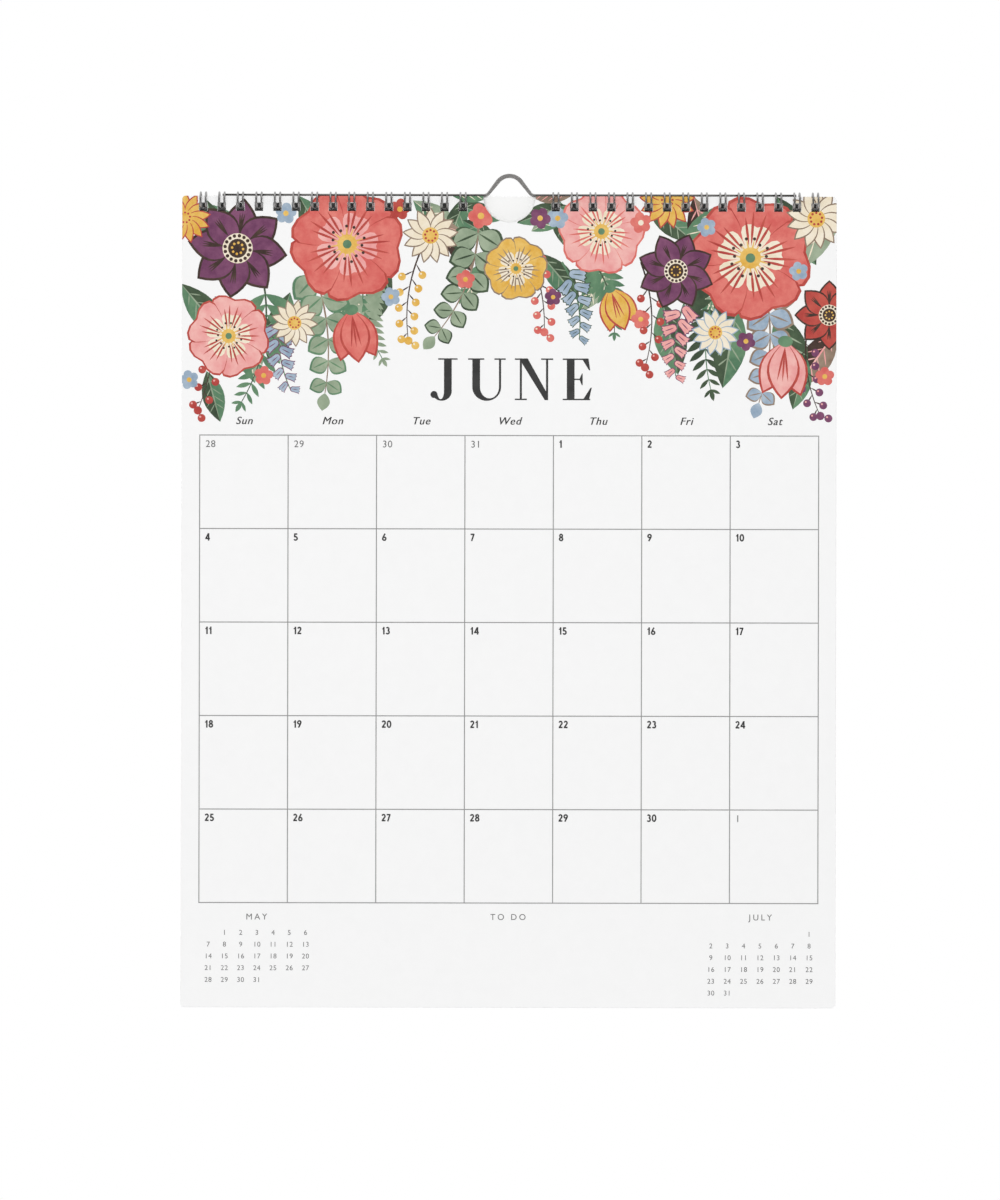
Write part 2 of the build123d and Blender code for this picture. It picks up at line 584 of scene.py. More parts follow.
# Month name: drawn letters with thick stems and hairline serifs, as on a title page.
# Each letter is a few flat strokes that overlap, merged to one face of ink.
cap_height = 19.0
title_depth = 93.0
title_middle = 0.5
title_start = -1.83
stem = 0.185
hair = 0.034
hook = arc(0.185, 0.21, 0.24, 0.23, 0, -160) + arc(0.16, 0.21, 0.08, 0.19, -150, 0)
letter_j = [
    bar(0.24, 0.2, 0.24 + stem, 1.0),
    bar(0.10, 1.0 - hair, 0.24 + stem + 0.14, 1.0),
    hook[::-1],
    arc(0.0, 0.13, 0.085, 0.085, 0, 360),
]
letter_u = [
    bar(0.10, 0.30, 0.10 + stem, 1.0),
    bar(0.0, 1.0 - hair, 0.10 + stem + 0.10, 1.0),
    bar(0.74, 0.30, 0.74 + 1.5 * hair, 1.0),
    bar(0.63, 1.0 - hair, 0.74 + 1.5 * hair + 0.11, 1.0),
    arc(0.4455, 0.31, 0.3455, 0.33, -180, 0) + arc(0.5125, 0.31, 0.2275, 0.27, 0, -180),
]
letter_n = [
    bar(0.12, 0.0, 0.12 + 1.5 * hair, 1.0),
    bar(0.0, 0.0, 0.29, hair),
    bar(0.0, 1.0 - hair, 0.16, 1.0),
    [(0.10, 1.0), (0.72, 0.0), (0.80, 0.0), (0.80, 0.12), (0.31, 1.0)],
    bar(0.75, 0.0, 0.75 + 1.5 * hair, 1.0),
    bar(0.63, 1.0 - hair, 0.92, 1.0),
]
letter_e = [
    bar(0.10, 0.0, 0.10 + stem, 1.0),
    bar(0.0, 0.0, 0.66, hair),
    bar(0.0, 1.0 - hair, 0.62, 1.0),
    bar(0.2, 0.5 - hair / 2, 0.47, 0.5 + hair / 2),
    [(0.63, 0.0), (0.70, 0.30), (0.67, 0.30), (0.48, 0.0)],
    [(0.46, 1.0), (0.63, 0.72), (0.66, 0.72), (0.62, 1.0)],
    [(0.40, 0.5), (0.46, 0.36), (0.48, 0.36), (0.48, 0.64), (0.46, 0.64)],
]
strokes = []
pen = title_start
for letter, advance in ((letter_j, 0.82), (letter_u, 1.12), (letter_n, 1.15), (letter_e, 0.7)):
    for outline in letter:
        points = [(title_middle + (pen + x) * cap_height, z * cap_height - title_depth) for x, z in outline]
        strokes.append(("charcoal", points))
    pen += advance
print_on_page(lay_flat(strokes, "month_name")["charcoal"], charcoal_ink)

# Floral frieze: a printed garland of blossoms, leaves and sprigs that runs off the top and the sides.
# Each colour is one flat layer of ink, cut off where the sheet ends and where it is punched.
inks = {}
for ink, name, dark, light, patch in (
    ("coral", "coral_ink", "#D4605A", "#E48277", 7),
    ("blush", "blush_ink", "#E99A98", "#F3BDB6", 7),
    ("brick", "brick_ink", "#AE3D38", "#C5574B", 6),
    ("plum", "plum_ink", "#69375A", "#855071", 6),
    ("mustard", "mustard_ink", "#DDA83E", "#ECC670", 5),
    ("cream", "cream_ink", "#EBDDC1", "#F5EBD8", 6),
    ("sage", "sage_ink", "#87997F", "#A3B298", 8),
    ("green", "leaf_green_ink", "#4F775A", "#6C916F", 8),
    ("deep", "deep_green_ink", "#364634", "#4E6248", 8),
    ("slate", "slate_blue_ink", "#8BA1B7", "#B0C0CF", 6),
    ("taupe", "taupe_ink", "#85705F", "#9F8B79", 8),
    ("umber", "umber_ink", "#352622", "#503D34", 5),
):
    inks[ink] = printing_ink(name, dark, light, patch * mm)
frieze = []
blade_steps = 9
stem_steps = 12
stem_taper = 0.6
narrow_leaf = 0.36
broad_leaf = 0.44


def both_sides(half, tip):
    """A cut shape from its right half, mirrored to the left, with its tip on the middle line."""
    return [(0, 0), *half, (0, tip), *[(-x, z) for x, z in reversed(half)]]


# The cut shapes that the garland is made of, each one unit long. All but the dot grow up from the foot.
blade_spots = [step / blade_steps for step in range(1, blade_steps)]
blade_half = [(0.5 * math.sin(math.pi * t) ** 0.9, t) for t in blade_spots]
blade = both_sides(blade_half, 1)
half_blade = [(0, 0), *blade_half, (0, 1)]
petal_half = [(0.08, 0.06), (0.2, 0.25), (0.36, 0.48), (0.47, 0.7), (0.47, 0.86), (0.36, 0.97), (0.2, 1.0)]
petal = both_sides(petal_half, 0.94)
bell_half = [(0.2, 0.04), (0.33, 0.2), (0.36, 0.5), (0.42, 0.78), (0.5, 0.96), (0.3, 0.9), (0.17, 1.0)]
bell = both_sides(bell_half, 0.9)
dot = arc(0, 0, 0.5, 0.5, 0, 345, 23)


def put(outline, ink, x, depth, length, width, turn):
    """Prints one cut shape with its foot at a place, turned clockwise from upright."""
    sine = math.sin(math.radians(turn))
    cosine = math.cos(math.radians(turn))
    points = []
    for across, along in outline:
        right = across * width
        up = along * length
        points.append((x + right * cosine + up * sine, -depth - right * sine + up * cosine))
    frieze.append((ink, points))


def put_dot(ink, x, depth, size):
    put(dot, ink, x, depth, size, size, 0)


def ahead(x, depth, length, turn):
    """The place at a distance in the direction of a turn."""
    return x + length * math.sin(math.radians(turn)), depth - length * math.cos(math.radians(turn))


def around(count, start):
    """Turns spaced evenly all the way round."""
    return [start + number * 360 / count for number in range(count)]


def put_stem(ink, start, end, sag, width):
    """A tapering stem bowed sideways by sag, and the places and turns along it."""
    middle = ((start[0] + end[0]) / 2, (start[1] + end[1]) / 2)
    run = math.dist(start, end)
    across = ((end[1] - start[1]) / run, -(end[0] - start[0]) / run)
    bow = (middle[0] + across[0] * sag * 2, middle[1] + across[1] * sag * 2)
    spine = []
    for step in range(stem_steps + 1):
        t = step / stem_steps
        x = (1 - t) ** 2 * start[0] + 2 * t * (1 - t) * bow[0] + t ** 2 * end[0]
        depth = (1 - t) ** 2 * start[1] + 2 * t * (1 - t) * bow[1] + t ** 2 * end[1]
        go_x = (1 - t) * (bow[0] - start[0]) + t * (end[0] - bow[0])
        go_depth = (1 - t) * (bow[1] - start[1]) + t * (end[1] - bow[1])
        spine.append((x, depth, math.degrees(math.atan2(go_x, -go_depth))))
    right = []
    left = []
    for step, (x, depth, turn) in enumerate(spine):
        half = width * (1 - stem_taper * step / stem_steps) / 2
        right.append(ahead(x, depth, half, turn + 90))
        left.append(ahead(x, depth, half, turn - 90))
    frieze.append((ink, [(x, -depth) for x, depth in right + left[::-1]]))
    return spine


def put_leaf(x, depth, length, width, turn, ink, shade, vein):
    """A leaf in two tones with a midrib and side veins."""
    put(blade, ink, x, depth, length, width, turn)
    put(half_blade, shade, x, depth, length, width, turn)
    put(blade, vein, x, depth, length * 0.97, width * 0.06, turn)
    for t in (0.18, 0.33, 0.48, 0.63):
        foot = ahead(x, depth, length * t, turn)
        for lean in (-42, 42):
            reach = width * 0.62 * math.sin(math.pi * (t + 0.06))
            put(blade, vein, *foot, reach, width * 0.045, turn + lean)


def put_rose(x, depth, radius, turn, fill, rim, heart):
    """A wild rose: five notched petals, each over the last, with a heart and a ring of stamens."""
    for angle in around(5, turn):
        put(petal, rim, x, depth, radius, radius * 1.2, angle)
        put(petal, fill, x, depth, radius * 0.955, radius * 1.12, angle)
    for angle in around(5, turn):
        put(petal, heart, x, depth, radius * 0.56, radius * 0.52, angle)
        for lean, reach in ((-19, 0.7), (-8, 0.8), (8, 0.8), (19, 0.7)):
            foot = ahead(x, depth, radius * 0.2, angle + lean)
            put(blade, rim, *foot, radius * (reach - 0.2), radius * 0.045, angle + lean)
    put_dot("mustard", x, depth, radius * 0.36)
    for number, angle in enumerate(around(15, turn)):
        reach = 0.27 if number % 2 else 0.33
        put(blade, "mustard", x, depth, radius * reach, radius * 0.03, angle)
        put_dot("umber", *ahead(x, depth, radius * reach, angle), radius * 0.055)
    put_dot("green", x, depth, radius * 0.16)


def put_anemone(x, depth, radius, turn, fill, rim):
    """An anemone: eight pointed petals around a dark button."""
    for angle in around(8, turn):
        put(blade, rim, x, depth, radius, radius * 0.66, angle)
        put(blade, fill, x, depth, radius * 0.94, radius * 0.58, angle)
        foot = ahead(x, depth, radius * 0.3, angle)
        for lean in (-7, 0, 7):
            put(blade, rim, *foot, radius * 0.42, radius * 0.035, angle + lean)
    put_dot("cream", x, depth, radius * 0.6)
    put_dot("umber", x, depth, radius * 0.38)
    for number in range(16):
        put_dot("umber", *ahead(x, depth, radius * 0.25, turn + number * 22.5), radius * 0.07)
        put_dot("mustard", *ahead(x, depth, radius * 0.11, turn + number * 45), radius * 0.05)


def put_daisy(x, depth, radius, turn, fill, rim):
    """A daisy: a ring of narrow petals around a dotted eye."""
    for angle in around(13, turn):
        put(blade, rim, x, depth, radius, radius * 0.42, angle)
        put(blade, fill, x, depth, radius * 0.93, radius * 0.34, angle)
    put_dot("mustard", x, depth, radius * 0.58)
    for angle in around(9, 0):
        put_dot("brick", *ahead(x, depth, radius * 0.19, angle), radius * 0.08)


def put_small_blossom(x, depth, radius, turn, fill, eye):
    """A small blossom: five round petals around an eye."""
    for angle in around(5, turn):
        put_dot(fill, *ahead(x, depth, radius * 0.55, angle), radius * 0.86)
    put_dot(eye, x, depth, radius * 0.5)


def put_tulip(x, depth, length, turn, fill, rim):
    """A tulip in bud: three pointed petals, the middle one in front."""
    for lean in (-20, 20):
        put(blade, rim, x, depth, length, length * 0.5, turn + lean)
        put(blade, fill, x, depth, length * 0.95, length * 0.43, turn + lean)
    put(blade, rim, x, depth, length * 1.02, length * 0.58, turn)
    put(blade, fill, x, depth, length * 0.97, length * 0.5, turn)
    foot = ahead(x, depth, length * 0.1, turn)
    for lean in (-9, 0, 9):
        put(blade, rim, *foot, length * 0.62, length * 0.035, turn + lean)
    put(dot, "green", x, depth, length * 0.2, length * 0.26, turn)


def put_fern(start, end, sag, ink, vein):
    """A fern: pairs of narrow leaflets that shorten towards the tip."""
    spine = put_stem(vein, start, end, sag, 0.9)
    run = math.dist(start, end)
    for step, (x, depth, turn) in enumerate(spine[1:], 1):
        size = run * (0.34 - 0.021 * step)
        for lean in (-52, 52):
            put(blade, ink, x, depth, size, size * 0.3, turn + lean)
    put(blade, ink, *spine[-1][:2], run * 0.1, run * 0.04, spine[-1][2])


def put_round_leaves(start, end, sag, ink, shade):
    """A silver-dollar sprig: pairs of round leaves on a thin stem."""
    spine = put_stem("taupe", start, end, sag, 1.0)
    run = math.dist(start, end)
    for step, (x, depth, turn) in enumerate(spine[1::2], 1):
        size = run * (0.27 - 0.021 * step)
        for lean in (-62, 62):
            put(blade, shade, x, depth, size, size * 0.86, turn + lean)
            put(blade, ink, x, depth, size * 0.9, size * 0.72, turn + lean)
            put(blade, shade, x, depth, size * 0.8, size * 0.07, turn + lean)
    put(blade, ink, *spine[-1][:2], run * 0.14, run * 0.1, spine[-1][2])


def put_berries(start, end, sag, berry, shine):
    """A berry twig: short side twigs, each with a round berry."""
    spine = put_stem("umber", start, end, sag, 0.8)
    for step, (x, depth, turn) in enumerate(spine[2:], 2):
        lean = 48 if step % 2 else -48
        reach = 6.5 - 0.22 * step
        put(blade, "umber", x, depth, reach, 0.6, turn + lean)
        spot = ahead(x, depth, reach, turn + lean)
        put_dot(berry, *spot, 3.6)
        put_dot(shine, spot[0] - 0.6, spot[1] - 0.6, 0.9)
    put_dot(berry, *spine[-1][:2], 3.8)


def put_bellflowers(start, end, sag, fill, rim):
    """A stem of bellflowers that nod to both sides."""
    spine = put_stem("green", start, end, sag, 1.0)
    for step, (x, depth, turn) in enumerate(spine[2:], 2):
        lean = 58 if step % 2 else -58
        size = 9.5 - 0.4 * step
        put(bell, rim, x, depth, size, size * 0.8, turn + lean)
        put(bell, fill, *ahead(x, depth, 0.4, turn + lean), size * 0.88, size * 0.64, turn + lean)
        put(blade, rim, *ahead(x, depth, size * 0.2, turn + lean), size * 0.6, size * 0.06, turn + lean)


# Foliage behind the blossoms: where each leaf springs from, its length, its turn and its set of inks.
foliage = (
    ("green", "deep", "sage"), ("sage", "green", "cream"),
    ("deep", "green", "sage"), ("taupe", "umber", "blush"),
)
for x, depth, length, turn, kind in (
    (-150, 4, 40, 118, 0), (-138, 2, 34, 168, 2), (-120, 2, 30, 205, 1), (-96, 0, 36, 150, 0),
    (-90, 4, 30, 100, 3), (-62, 0, 34, 175, 2), (-44, 2, 30, 128, 1), (-20, 0, 26, 200, 0),
    (-30, 10, 28, 152, 3), (20, 0, 28, 160, 0), (28, 2, 30, 118, 1), (50, 0, 34, 190, 2),
    (62, 2, 30, 130, 0), (84, 0, 34, 165, 3), (96, 4, 30, 215, 1), (122, 0, 36, 150, 2),
    (140, 0, 34, 190, 0), (150, 14, 38, 240, 1), (-150, 40, 34, 140, 2), (150, 60, 34, 215, 3),
    (-100, 44, 34, 196, 0), (-122, 52, 34, 170, 1), (-78, 36, 34, 160, 1), (-54, 34, 30, 205, 2),
    (70, 48, 34, 168, 2), (88, 44, 34, 150, 1), (104, 50, 38, 190, 0), (122, 52, 36, 160, 2),
    (48, 30, 28, 215, 1), (14, 26, 28, 140, 2), (-8, 28, 26, 215, 1), (136, 74, 24, 196, 0),
    (-138, 80, 24, 165, 0), (-24, 4, 22, 108, 2), (-26, 0, 20, 82, 1), (26, 4, 24, 250, 0),
    (28, 0, 20, 275, 3), (10, 16, 20, 60, 1), (-6, 20, 18, 300, 0),
):
    width = length * chance.uniform(narrow_leaf, broad_leaf)
    put_leaf(x, depth, length, width, turn, *foliage[kind])

# Sprigs that hang from the garland to its ragged lower edge.
put_fern((-112, 40), (-122, 94), 5, "green", "deep")
put_fern((-66, 30), (-58, 74), -4, "sage", "green")
put_fern((98, 34), (92, 88), -5, "deep", "green")
put_fern((34, 24), (48, 62), 4, "green", "deep")
put_round_leaves((-90, 32), (-84, 90), 4, "sage", "green")
put_round_leaves((116, 40), (114, 94), 4, "slate", "taupe")
put_round_leaves((-14, 12), (-34, 64), 5, "sage", "deep")
put_berries((-134, 46), (-142, 98), 3, "brick", "blush")
put_berries((-40, 24), (-46, 66), -3, "mustard", "cream")
put_berries((60, 30), (62, 78), 4, "brick", "blush")
put_berries((136, 60), (142, 100), -3, "plum", "blush")
put_berries((6, 20), (16, 62), 3, "coral", "cream")
put_bellflowers((-104, 50), (-100, 88), -3, "slate", "plum")
put_bellflowers((24, 30), (32, 64), 3, "slate", "deep")
put_bellflowers((82, 44), (76, 82), -3, "blush", "plum")

# Blossoms in front.
put_tulip(-72, 52, 24, 172, "coral", "brick")
put_tulip(126, 66, 26, 184, "blush", "brick")
put_tulip(46, 42, 20, 160, "mustard", "brick")
put_rose(-128, 64, 18, 10, "blush", "brick", "cream")
put_rose(-74, 22, 25, 22, "coral", "brick", "blush")
put_rose(42, 16, 19, 40, "blush", "coral", "cream")
put_rose(110, 28, 27, 12, "coral", "brick", "cream")
put_rose(3, 33, 14, 30, "mustard", "taupe", "cream")
put_anemone(-124, 24, 23, 8, "plum", "umber")
put_anemone(76, 34, 18, 20, "plum", "umber")
put_anemone(146, 54, 16, 0, "brick", "umber")
put_daisy(-36, 18, 13, 0, "cream", "taupe")
put_daisy(-98, 58, 11, 10, "cream", "taupe")
put_daisy(140, 10, 14, 5, "cream", "taupe")
put_daisy(94, 62, 11, 0, "cream", "slate")
put_daisy(-148, 10, 12, 0, "mustard", "brick")
put_daisy(72, 2, 13, 0, "mustard", "brick")
for x, depth, radius, fill, eye in (
    (-102, 8, 5, "slate", "mustard"), (-54, 46, 4.5, "slate", "mustard"), (-20, 38, 4.5, "coral", "mustard"),
    (22, 10, 5, "slate", "mustard"), (20, 46, 4, "plum", "mustard"), (60, 56, 4.5, "coral", "mustard"),
    (60, 12, 5, "coral", "cream"), (90, 14, 4.5, "slate", "mustard"), (132, 34, 4.5, "slate", "mustard"),
    (108, 66, 4.5, "plum", "mustard"), (-146, 84, 4.5, "slate", "mustard"), (-50, 6, 5, "brick", "mustard"),
    (-112, 82, 4.5, "coral", "mustard"), (144, 82, 4.5, "coral", "mustard"), (-13, 9, 6, "coral", "mustard"),
    (14, 10, 5, "plum", "mustard"),
):
    put_small_blossom(x, depth, radius, x * 7, fill, eye)

# Bare shapes on top: the holes, the thumb notch and all that lies past the sheet's edges.
half_width = sheet_width / 2 / mm
half_hole = hole_size / mm / 2
hole_top = -hole_margin / mm
notch = thumb_notch_radius / mm
rounding = corner_radius / mm
past_edge = 90
below_frieze = -200
for number in range(loops_in_comb):
    for side in (-1, 1):
        x = side * (first_loop + number * hole_pitch) / mm
        frieze.append((None, bar(x - half_hole, hole_top - 2 * half_hole, x + half_hole, hole_top)))
frieze += [
    (None, arc(0, 0, notch, notch, 0, 354, 59)),
    (None, bar(-half_width - past_edge, 0, half_width + past_edge, past_edge)),
    (None, bar(-half_width - past_edge, below_frieze, -half_width, past_edge)),
    (None, bar(half_width, below_frieze, half_width + past_edge, past_edge)),
]
for side in (-1, 1):
    round_corner = arc(side * (half_width - rounding), -rounding, side * rounding, rounding, 0, 90, 6)
    tip = [(side * half_width, 0), *round_corner]
    frieze.append((None, tip if side < 0 else tip[::-1]))
for ink, flat_print in lay_flat(frieze, "frieze").items():
    print_on_page(flat_print, inks[ink])

# Twin-loop binding: two combs of bright nickel-plated wire, each bent from one length.
# Every loop is a pair of wires that pass through a hole and close on the root between pages and board.
loop_y = -0.4 * mm
loop_z = top_edge - 2.0 * mm
wire_radius = 0.425 * mm
loop_inner_radius = 3.2827 * mm
loop_radius = loop_inner_radius + wire_radius
wire_gap = 2.4 * mm
root_behind = 0.675 * mm
tip_ahead = 0.325 * mm
root_turn = math.degrees(math.asin(root_behind / loop_radius))
tip_turn = 360 - math.degrees(math.asin(tip_ahead / loop_radius))
root_bend_radius = 1.0 * mm
root_bend_turn = math.degrees(root_bend_radius / loop_radius)
tip_bend_turn = math.degrees(wire_gap / 2 / loop_radius)
root_bend_steps = 5
climb_steps = 40
tip_bend_steps = 6
half_comb = (loops_in_comb - 1) / 2 * hole_pitch
wire_join_gap = 0.02 * mm
cut_stub = 0.35 * mm
wire_mark = 0.9 * mm


def on_loop(x, turn):
    """A point of the loop's round, its turn counted from the bottom by way of the back."""
    angle = math.radians(turn)
    return Vector((x, loop_y + loop_radius * math.sin(angle), loop_z - loop_radius * math.cos(angle)))


# One pitch of the comb: root, bend, up the back and over to the tip's round, then back the same way.
half_pitch = [on_loop(-hole_pitch / 2, root_turn)]
for step in range(root_bend_steps + 1):
    turn = math.pi / 2 * step / root_bend_steps
    x = -wire_gap / 2 - root_bend_radius * (1 - math.sin(turn))
    half_pitch.append(on_loop(x, root_turn + root_bend_turn * (1 - math.cos(turn))))
climb_start = root_turn + root_bend_turn
climb_end = tip_turn - tip_bend_turn
for step in range(1, climb_steps):
    half_pitch.append(on_loop(-wire_gap / 2, climb_start + (climb_end - climb_start) * step / climb_steps))
for step in range(tip_bend_steps):
    turn = math.pi / 2 * step / tip_bend_steps
    half_pitch.append(on_loop(-wire_gap / 2 * math.cos(turn), climb_end + tip_bend_turn * math.sin(turn)))
wire_path = half_pitch + [on_loop(0, tip_turn)] + [Vector((-p.x, p.y, p.z)) for p in reversed(half_pitch)]

# Nickel-plated steel wire: a bright grey drawn metal with faint marks along it.
# The marks are drawn coarser than real ones, so that they show.
nickel_wire, tree, place = start_material("nickel_plated_wire")
marks, tint = mottle(tree, place, wire_mark, "#8E8D8D", "#BDBCBB", detail=3.0)
gloss = add_node(tree, "ShaderNodeMapRange", {"Value": marks, "To Min": 0.2, "To Max": 0.42})
skin = add_node(
    tree, "ShaderNodeBsdfPrincipled", {"Base Color": tint, "Metallic": 1.0, "Roughness": gloss.outputs[0]}
)
add_node(tree, "ShaderNodeOutputMaterial", {"Surface": skin.outputs["BSDF"]})


def bend_wire(name, path, radius, swells):
    """A round wire along a path, as a mesh, swollen by a factor at each point."""
    deselect_all()
    bpy.ops.curve.primitive_nurbs_path_add()
    wire = bpy.context.active_object
    wire.data.splines.clear()
    run = wire.data.splines.new("POLY")
    run.points.add(len(path) - 1)
    for point, spot, swell in zip(run.points, path, swells):
        point.co = (*spot, 1.0)
        point.radius = swell
    wire.data.bevel_depth = radius
    # This gives the wire twelve sides.
    wire.data.bevel_resolution = 4
    bpy.ops.object.convert(target="MESH")
    bpy.ops.object.transform_apply()
    wire.name = name
    bpy.ops.object.shade_smooth()
    return wire


loop = bend_wire("wire_loop", wire_path, wire_radius, [1.0] * len(wire_path))
for side, node in ((-1, "wire_comb_left"), (1, "wire_comb_right")):
    comb = copy_of(loop, f"twin_{node}")
    for corner in comb.data.vertices:
        corner.co.x += side * (first_loop + half_comb) - half_comb
    repeat_along(comb, hole_pitch, wire_join_gap)
    low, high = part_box(node)
    edit_all_of(comb)
    for x, outward in ((low.x - cut_stub, -1), (high.x + cut_stub, 1)):
        bpy.ops.mesh.bisect(plane_co=(x, 0, 0), plane_no=(outward, 0, 0), clear_outer=True, use_fill=True)
        bpy.ops.mesh.select_all(action="SELECT")
    bpy.ops.mesh.remove_doubles(threshold=weld_gap)
    bpy.ops.mesh.normals_make_consistent(inside=False)
    bpy.ops.object.mode_set(mode="OBJECT")
    comb.data.materials.append(nickel_wire)
    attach(comb, "binding")
    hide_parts(node)
bpy.data.objects.remove(loop)

# Hanger: a straight steel rod through the loops, with a hump in the middle that hooks over a nail.
# It is drawn wire, nickel plated, bent cold at both feet, and pressed a little flat over the crown.
rod_radius = 0.75 * mm
rod_low, rod_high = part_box("hanger_rod")
rod_axis_z = rod_low.z + rod_radius
leg_angle = math.radians(50.0)
foot_radius = 3.0 * mm
foot_steps = 8
crown_radius = 6.4 * mm
crown_steps = 12
crown_swell = 1.33
crown_depth = 1.0 * mm
crown_spread = (crown_swell - 1) * rod_radius
swollen_radius = crown_radius + crown_spread
hump_rise = rod_high.z - rod_radius - rod_axis_z
corner_rise = hump_rise + crown_radius * (1 / math.cos(leg_angle) - 1)
foot_x = corner_rise / math.tan(leg_angle)
foot_reach = foot_radius * math.tan(leg_angle / 2)
# How far past the feet, and how far inside them, the hump's painted highlight fades in.
light_fade_outside = 2 * mm
light_fade_inside = 0.5 * mm
rod_mark = 1.6 * mm
half_rod = [Vector((rod_low.x, 0, rod_axis_z)), Vector((rod_low.x / 2, 0, rod_axis_z))]
for step in range(foot_steps + 1):
    turn = leg_angle * step / foot_steps
    x = -foot_x - foot_reach + foot_radius * math.sin(turn)
    half_rod.append(Vector((x, 0, rod_axis_z + foot_radius * (1 - math.cos(turn)))))
half_swells = [1.0] * len(half_rod) + [crown_swell] * crown_steps
for step in range(crown_steps):
    turn = leg_angle * (1 - step / crown_steps)
    z = rod_axis_z + hump_rise - crown_radius + swollen_radius * math.cos(turn)
    half_rod.append(Vector((-swollen_radius * math.sin(turn), 0, z)))
crown = [Vector((0, 0, rod_axis_z + hump_rise + crown_spread))]
rod_path = half_rod + crown + [Vector((-p.x, p.y, p.z)) for p in reversed(half_rod)]
rod = bend_wire("hanger_wire", rod_path, rod_radius, half_swells + [crown_swell] + half_swells[::-1])
for corner in rod.data.vertices:
    if corner.co.z > rod_axis_z + hump_rise / 2:
        corner.co.y = max(-crown_depth / 2, min(crown_depth / 2, corner.co.y))
edit_all_of(rod)
bpy.ops.mesh.fill_holes(sides=0)
bpy.ops.object.mode_set(mode="OBJECT")

# Nickel-plated steel rod: painted shade makes it darker and glossier along its length, and a painted
# highlight makes it a lighter, matter grey over the hump.
# Its marks are drawn coarser than real ones, so that they show.
nickel_rod, tree, place = start_material("nickel_plated_rod")
# A darker mottled tone as painted shade along the rod, and a lighter one as painted highlight over the hump.
_, shaded_rod_tone = mottle(tree, place, rod_mark, "#6C6A68", "#8B8987", detail=4.0)
_, matt = mottle(tree, place, rod_mark, "#B4B2B0", "#CECCCA", detail=4.0)
along = add_node(tree, "ShaderNodeSeparateXYZ", {"Vector": place}).outputs["X"]
off_middle = add_node(tree, "ShaderNodeMath", {0: along}, operation="ABSOLUTE")
# Painted highlight mask: full over the hump and down its legs, fading out just past the feet, nil along the
# rest of the rod.
lit_hump_mask = add_node(
    tree, "ShaderNodeMapRange",
    {"Value": off_middle.outputs[0], "From Min": foot_x + light_fade_outside, "From Max": foot_x - light_fade_inside},
    interpolation_type="SMOOTHSTEP",
)
tint = add_node(
    tree, "ShaderNodeMix", {"Factor": lit_hump_mask.outputs[0], mix_from: shaded_rod_tone, mix_to: matt}, data_type="RGBA"
)
gloss = add_node(tree, "ShaderNodeMapRange", {"Value": lit_hump_mask.outputs[0], "To Min": 0.38, "To Max": 0.68})
skin = add_node(
    tree, "ShaderNodeBsdfPrincipled",
    {"Base Color": tint.outputs[mixed], "Metallic": 1.0, "Roughness": gloss.outputs[0]},
)
add_node(tree, "ShaderNodeOutputMaterial", {"Surface": skin.outputs["BSDF"]})
rod.data.materials.append(nickel_rod)
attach(rod, "hanger")
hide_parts("hanger_rod")

# Studio: a white wall just behind the calendar that runs down to a white floor.
# Only the camera sees it, from its front, and it is dark where something lies close in front of it.
wall_y = 4.3 * mm
wall_height = 6.0
floor_z = -620 * mm
floor_depth = 8.0
studio_half_width = 6.0
shade_reach = 20 * mm
deselect_all()
bpy.ops.mesh.primitive_plane_add(size=1, location=(0, wall_y, floor_z))
studio = bpy.context.active_object
for corner in studio.data.vertices:
    corner.co = (math.copysign(studio_half_width, corner.co.x), 0.0 if corner.co.y > 0 else -floor_depth, 0.0)
edit_edges_of(studio, lambda edge: all(corner.co.y > -floor_depth / 2 for corner in edge.verts))
bpy.ops.mesh.extrude_region_move(TRANSFORM_OT_translate={"value": (0, 0, wall_height)})
bpy.ops.object.mode_set(mode="OBJECT")
bpy.ops.object.transform_apply()
studio.name = "studio_sweep"

# White painted sweep: an even white to the camera, shaded where the punched holes look on to it.
white_sweep, tree, _ = start_material("white_painted_sweep")
shade = add_node(tree, "ShaderNodeAmbientOcclusion", {"Distance": shade_reach}, samples=16)
soft = add_node(
    tree, "ShaderNodeMapRange",
    {"Value": shade.outputs["AO"], "From Min": 0.2, "From Max": 0.36, "To Min": 0.02, "To Max": 1.0},
)
glow = add_node(tree, "ShaderNodeEmission", {"Color": colour("#FFFFFF"), "Strength": soft.outputs[0]})
clear = add_node(tree, "ShaderNodeBsdfTransparent")
behind = add_node(tree, "ShaderNodeNewGeometry").outputs["Backfacing"]
seen = add_node(tree, "ShaderNodeMixShader", {0: behind, 1: glow.outputs[0], 2: clear.outputs[0]})
add_node(tree, "ShaderNodeOutputMaterial", {"Surface": seen.outputs[0]})
studio.data.materials.append(white_sweep)
studio.visible_diffuse = False
studio.visible_glossy = False
studio.visible_transmission = False
studio.visible_shadow = False

# Light: an even white room with a large soft box in front and another behind.
# Dark cards in front and on both sides are seen only in the metal, and give the wires their dark faces.
soft_box_size = 1.8
card_grain = 25 * mm
facing_side = (0, math.pi / 2, 0)
room = bpy.data.worlds.new("white_room")
bpy.context.scene.world = room
room.use_nodes = True
tree = room.node_tree
tree.nodes.clear()
ray = add_node(tree, "ShaderNodeLightPath")
mirror = add_node(
    tree, "ShaderNodeMath",
    {0: ray.outputs["Is Glossy Ray"], 1: ray.outputs["Is Transmission Ray"]},
    operation="MAXIMUM",
)
seen = add_node(
    tree, "ShaderNodeMath", {0: ray.outputs["Is Camera Ray"], 1: mirror.outputs[0]}, operation="MAXIMUM"
)
level = add_node(tree, "ShaderNodeMapRange", {"Value": seen.outputs[0], "To Min": 0.5, "To Max": 1.0})
sky = add_node(tree, "ShaderNodeBackground", {"Color": colour("#FFFFFF"), "Strength": level.outputs[0]})
add_node(tree, "ShaderNodeOutputWorld", {"Surface": sky.outputs[0]})

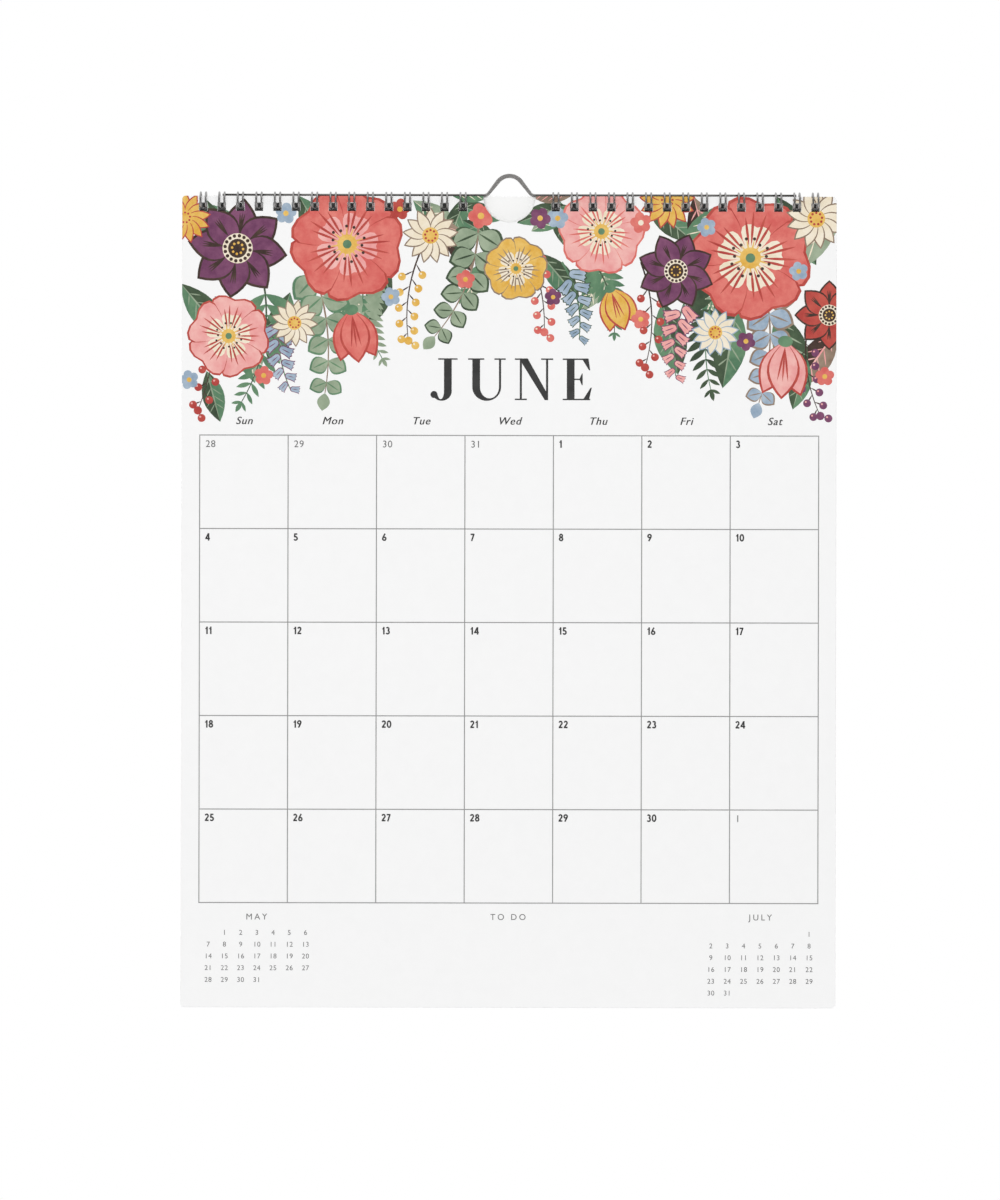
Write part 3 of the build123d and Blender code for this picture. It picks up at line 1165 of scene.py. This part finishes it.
middle = Vector((0, 0, (top_edge + bottom_edge) / 2))
for name, spot, power in (
    ("front_soft_box", (-0.2, -2.6, 0.1), 39.0),
    ("back_soft_box", (0.2, 2.6, 0.1), 36.0),
):
    deselect_all()
    bpy.ops.object.light_add(type="AREA", location=spot)
    soft_box = bpy.context.active_object
    soft_box.name = name
    soft_box.data.shape = "DISK"
    soft_box.data.size = soft_box_size
    soft_box.data.energy = power
    soft_box.visible_glossy = False
    soft_box.rotation_euler = (middle - soft_box.location).to_track_quat("-Z", "Y").to_euler()

# Dark grey card: matt, with a faint grain.
grey_card, tree, place = start_material("dark_grey_card")
_, tint = mottle(tree, place, card_grain, "#747474", "#808080", detail=2.0)
skin = add_node(tree, "ShaderNodeBsdfPrincipled", {"Base Color": tint, "Roughness": 0.9})
add_node(tree, "ShaderNodeOutputMaterial", {"Surface": skin.outputs["BSDF"]})
for name, spot, turn, size in (
    ("card_front", (0, -3.4, 0), facing_front, 5.0),
    ("card_left", (-1.5, 0, 0), facing_side, 2.2),
    ("card_right", (1.5, 0, 0), facing_side, 2.2),
):
    deselect_all()
    bpy.ops.mesh.primitive_plane_add(size=size, location=spot, rotation=turn)
    card = bpy.context.active_object
    card.name = name
    card.data.materials.append(grey_card)
    card.visible_camera = False
    card.visible_diffuse = False
    card.visible_transmission = False
    card.visible_shadow = False

# Camera: straight on, from far enough to look flat, with the sheet where the photograph has it.
# The picture's middle is given in pixels of the photograph, from the middle of the sheet's top edge.
mm_per_pixel = 0.45625 * mm
photo_width = 1000
aim_left = 8.7
aim_below = 403.8
photo_tilt = math.radians(-0.11)
camera_distance = 2.4
bpy.ops.object.camera_add(
    location=(-aim_left * mm_per_pixel, page_front - camera_distance, top_edge - aim_below * mm_per_pixel),
    rotation=(math.pi / 2, photo_tilt, 0),
)
camera = bpy.context.active_object
camera.data.sensor_fit = "HORIZONTAL"
camera.data.lens = camera.data.sensor_width * camera_distance / (photo_width * mm_per_pixel)
bpy.context.scene.camera = camera
bpy.context.scene.view_settings.view_transform = "Standard"
